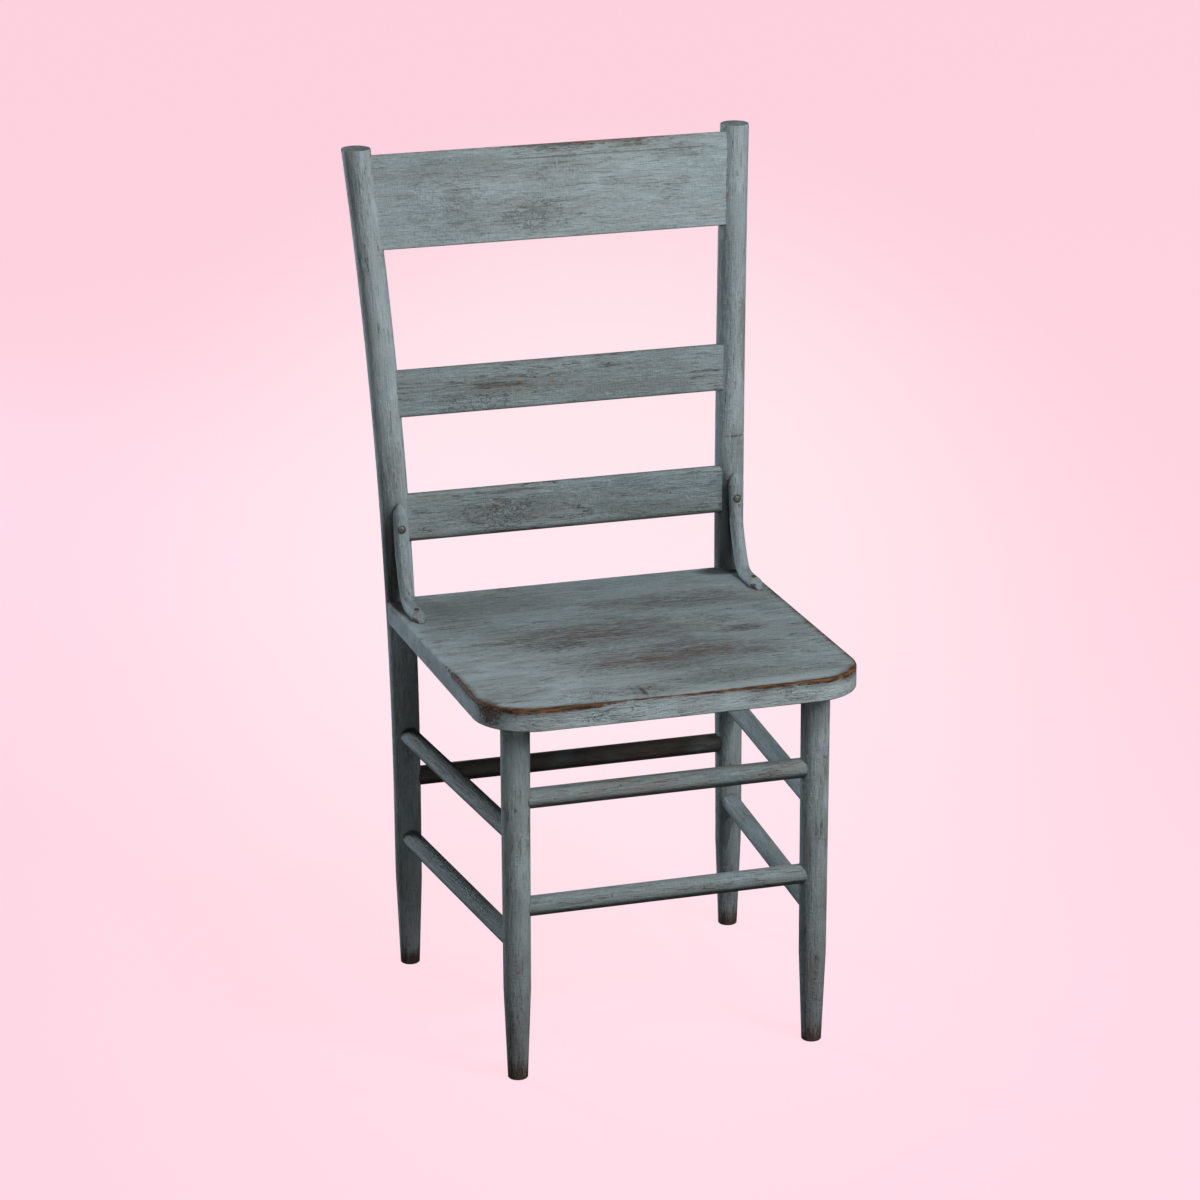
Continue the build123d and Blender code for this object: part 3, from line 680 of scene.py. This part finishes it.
# How each piece departs from the usual finish
LOOKS = {
    "left_back_post": {"edge_wear": 0.3, "tone": 0.36, "scuffed": 0.3},
    "right_back_post": {"edge_wear": 0.3, "tone": 0.24, "scuffed": 0.3},
    "seat": {"edge_wear": 0.3, "tone": 0.20, "warmth": 0.40, "furrowed": 0.8},
    "crest_rail": {"edge_wear": 0.5, "tone": 0.24, "cracked": 0.35, "furrowed": 0.45},
    "middle_slat": {"edge_wear": 0.6, "tone": 0.02, "warmth": 0.45},
    "lower_slat": {"edge_wear": 0.6, "tone": 0.03, "warmth": 0.45},
    "left_front_leg": {"tone": 0.34, "warmth": 0.55, "scuffed": 0.45},
    "right_front_leg": {"tone": 0.26, "warmth": 0.55, "scuffed": 0.45},
    "left_hip_brace": {"tone": 0.12},
    "right_hip_brace": {"tone": 0.12},
    "front_upper_stretcher": {"tone": 0.00, "warmth": 0.9},
    "front_lower_stretcher": {"tone": 0.02, "warmth": 0.6},
    # The left stretchers' tops get painted shadow
    "left_upper_stretcher": {"tone": 0.05, "shaded_top": 0.90, "furrowed": 0.9},
    "left_lower_stretcher": {"tone": 0.05, "shaded_top": 0.70, "furrowed": 0.9},
    "rear_stretcher": {"tone": -0.45, "warmth": 0.9, "dirt": 0.85},
}
POSTS = {"left_back_post": -1, "right_back_post": 1}
BOARDS = ("seat", "crest_rail", "middle_slat", "lower_slat")
ROUNDS = sorted(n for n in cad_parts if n.endswith(("_stretcher", "_leg", "_brace")))
SCREWS = ("brace_post_screws", "brace_seat_screws", "post_seat_screws")

for seed, (node, side) in enumerate(POSTS.items(), start=1):
    grain = partial(post_grain, side=side, seed=seed)
    coat(node, worn_paint(node, grain, dirty_foot=True, **LOOKS[node]))
for seed, node in enumerate(BOARDS, start=1 + len(POSTS)):
    grain = partial(straight_grain, along=ACROSS, seed=seed)
    coat(node, worn_paint(node, grain, **LOOKS[node]))
for seed, node in enumerate(ROUNDS, start=1 + len(POSTS) + len(BOARDS)):
    grain = partial(straight_grain, along=long_axis(node), seed=seed)
    coat(node, worn_paint(node, grain, dirty_foot=node.endswith("_leg"), **LOOKS.get(node, {})))
for node in SCREWS:
    coat(node, dull_brass(node))

# Studio: a round floor that sweeps up into a wall, in metres. It glows pale pink, with a painted pool of
# light behind the chair, and throws hardly any light back
FLOOR_RINGS = (0.0, 0.5, 1.0, 2.0, 4.0, 9.0)
FLOOR_SWEEP = 3.0
FLOOR_SWEEP_STEPS = 8
FLOOR_TURN_STEPS = 64
WALL_HEIGHT = 9.0
FLOOR_NEAR = (0.990, 0.780, 0.835, 1.0)
FLOOR_FAR = (1.000, 0.651, 0.745, 1.0)
FLOOR_GLOW = 0.985
FLOOR_SHADE = 0.13
LIGHT_POOL_CENTRE = (0.58, 1.83, 0.0)
LIGHT_POOL_SIZE = (0.95, 3.2, 4.0)
LIGHT_POOL_RIM = (0.2, 1.0)
SAME_POINT = 1e-5

# Lamps: azimuth from the front towards the right, elevation, distance from the chair's middle, width,
# colour, and the light that falls on the middle
LAMPS = {
    "key": (29, 46, 2.1, 0.50, (0.96, 0.99, 1.00), 1.37),
    "front": (4, 30, 2.6, 0.90, (0.98, 0.99, 1.00), 0.52),
    "near": (40, 25, 2.2, 0.60, (0.96, 1.00, 1.00), 0.48),
    "low": (-10, -28, 4.0, 2.00, (1.00, 1.00, 1.00), 0.17),
    "low_left": (-35, -18, 1.0, 0.35, (1.00, 1.00, 1.00), 0.09),
    "low_right": (65, -22, 0.75, 0.30, (1.00, 0.99, 0.97), 0.09),
    "rim": (-152, 5, 3.0, 0.80, (0.78, 0.91, 1.00), 1.65),
    "left": (-98, 6, 1.1, 0.40, (0.88, 0.96, 1.00), 0.16),
    "side": (74, 6, 1.3, 0.40, (1.00, 0.96, 0.92), 0.30),
}
LAMP_TARGET = Vector((0.0, 0.0, 0.55))
AMBIENT = (0.10, 0.11, 0.12, 1.0)
AMBIENT_STRENGTH = 0.12


def floor_mesh():
    """The floor, its sweep and the wall: one profile turned about the vertical."""
    floor_radius = FLOOR_RINGS[-1]
    profile = [(radius, 0.0) for radius in FLOOR_RINGS]
    for k in range(1, FLOOR_SWEEP_STEPS + 1):
        angle = math.radians(90.0 * k / FLOOR_SWEEP_STEPS)
        out, up = FLOOR_SWEEP * math.sin(angle), FLOOR_SWEEP * (1 - math.cos(angle))
        profile.append((floor_radius + out, up))
    profile.append((floor_radius + FLOOR_SWEEP, WALL_HEIGHT))
    mesh = bmesh.new()
    points = [mesh.verts.new((radius, 0.0, z)) for radius, z in profile]
    lines = [mesh.edges.new(pair) for pair in zip(points, points[1:])]
    bmesh.ops.spin(mesh, geom=points + lines, axis=(0, 0, 1), cent=(0, 0, 0), steps=FLOOR_TURN_STEPS,
                   angle=math.tau)
    bmesh.ops.remove_doubles(mesh, verts=mesh.verts, dist=SAME_POINT)
    bmesh.ops.recalc_face_normals(mesh, faces=mesh.faces)
    for face in mesh.faces:
        face.smooth = True
    data = bpy.data.meshes.new("studio_floor")
    mesh.to_mesh(data)
    mesh.free()
    return data


def floor_finish():
    """Pale pink that glows by itself, paler in a painted pool of light, and takes only a faint shade."""
    finish = Finish("studio_floor")
    settings = {
        "Vector": finish.position(),
        "Location": LIGHT_POOL_CENTRE,
        "Rotation": (0.0, 0.0, math.radians(CAMERA_AZIMUTH)),
        "Scale": LIGHT_POOL_SIZE,
    }
    # A paler pool on the glowing floor: a painted pool of light
    light_pool = finish.node("ShaderNodeMapping", settings, vector_type="TEXTURE").outputs["Vector"]
    pink = finish.mix(finish.step(finish.vector("LENGTH", light_pool), *LIGHT_POOL_RIM), FLOOR_NEAR, FLOOR_FAR)
    dim = finish.vector("MULTIPLY", pink, (FLOOR_SHADE, FLOOR_SHADE, FLOOR_SHADE))
    finish.put(finish.shader.inputs["Base Color"], dim)
    finish.put(finish.shader.inputs["Emission Color"], pink)
    finish.put(finish.shader.inputs["Emission Strength"], FLOOR_GLOW)
    finish.put(finish.shader.inputs["Roughness"], 1.0)
    finish.put(finish.shader.inputs["Specular IOR Level"], 0.0)
    return finish.material


def add_floor():
    data = floor_mesh()
    data.materials.append(floor_finish())
    floor = bpy.data.objects.new("studio_floor", data)
    bpy.context.scene.collection.objects.link(floor)
    floor.visible_diffuse = False
    floor.visible_glossy = False
    floor.visible_shadow = False


def direction(azimuth, elevation):
    """Unit vector from the chair towards that side, in degrees from the front."""
    a, e = math.radians(azimuth), math.radians(elevation)
    return Vector((math.sin(a) * math.cos(e), -math.cos(a) * math.cos(e), math.sin(e)))


def add_lamp(name, azimuth, elevation, distance, width, colour, light):
    lamp = bpy.data.lights.new(name, "AREA")
    lamp.shape = "DISK"
    lamp.size = width
    lamp.energy = light * math.pi * distance**2
    lamp.color = colour
    holder = bpy.data.objects.new(name, lamp)
    bpy.context.scene.collection.objects.link(holder)
    towards = direction(azimuth, elevation)
    holder.location = LAMP_TARGET + towards * distance
    holder.rotation_mode = "QUATERNION"
    holder.rotation_quaternion = towards.to_track_quat("Z", "Y")
    holder.visible_camera = False


def add_ambient_light():
    world = bpy.data.worlds.new("studio")
    world.use_nodes = True
    background = world.node_tree.nodes["Background"]
    background.inputs["Color"].default_value = AMBIENT
    background.inputs["Strength"].default_value = AMBIENT_STRENGTH
    bpy.context.scene.world = world


def add_camera():
    back = direction(CAMERA_AZIMUTH, CAMERA_ELEVATION)
    level = Vector((0, 0, 1)).cross(back).normalized()
    roll = Matrix.Rotation(math.radians(CAMERA_ROLL), 3, back)
    right = roll @ level
    lens = bpy.data.cameras.new("camera")
    lens.lens = CAMERA_LENS_MM
    lens.sensor_width = CAMERA_SENSOR_MM
    camera = bpy.data.objects.new("camera", lens)
    bpy.context.scene.collection.objects.link(camera)
    turn = Matrix((right, back.cross(right), back)).transposed().to_4x4()
    camera.matrix_world = Matrix.Translation(CAMERA_PLACE) @ turn
    bpy.context.scene.camera = camera


add_floor()
for lamp_name, settings in LAMPS.items():
    add_lamp(lamp_name, *settings)
add_ambient_light()
bpy.context.scene.view_settings.view_transform = "Standard"
add_camera()
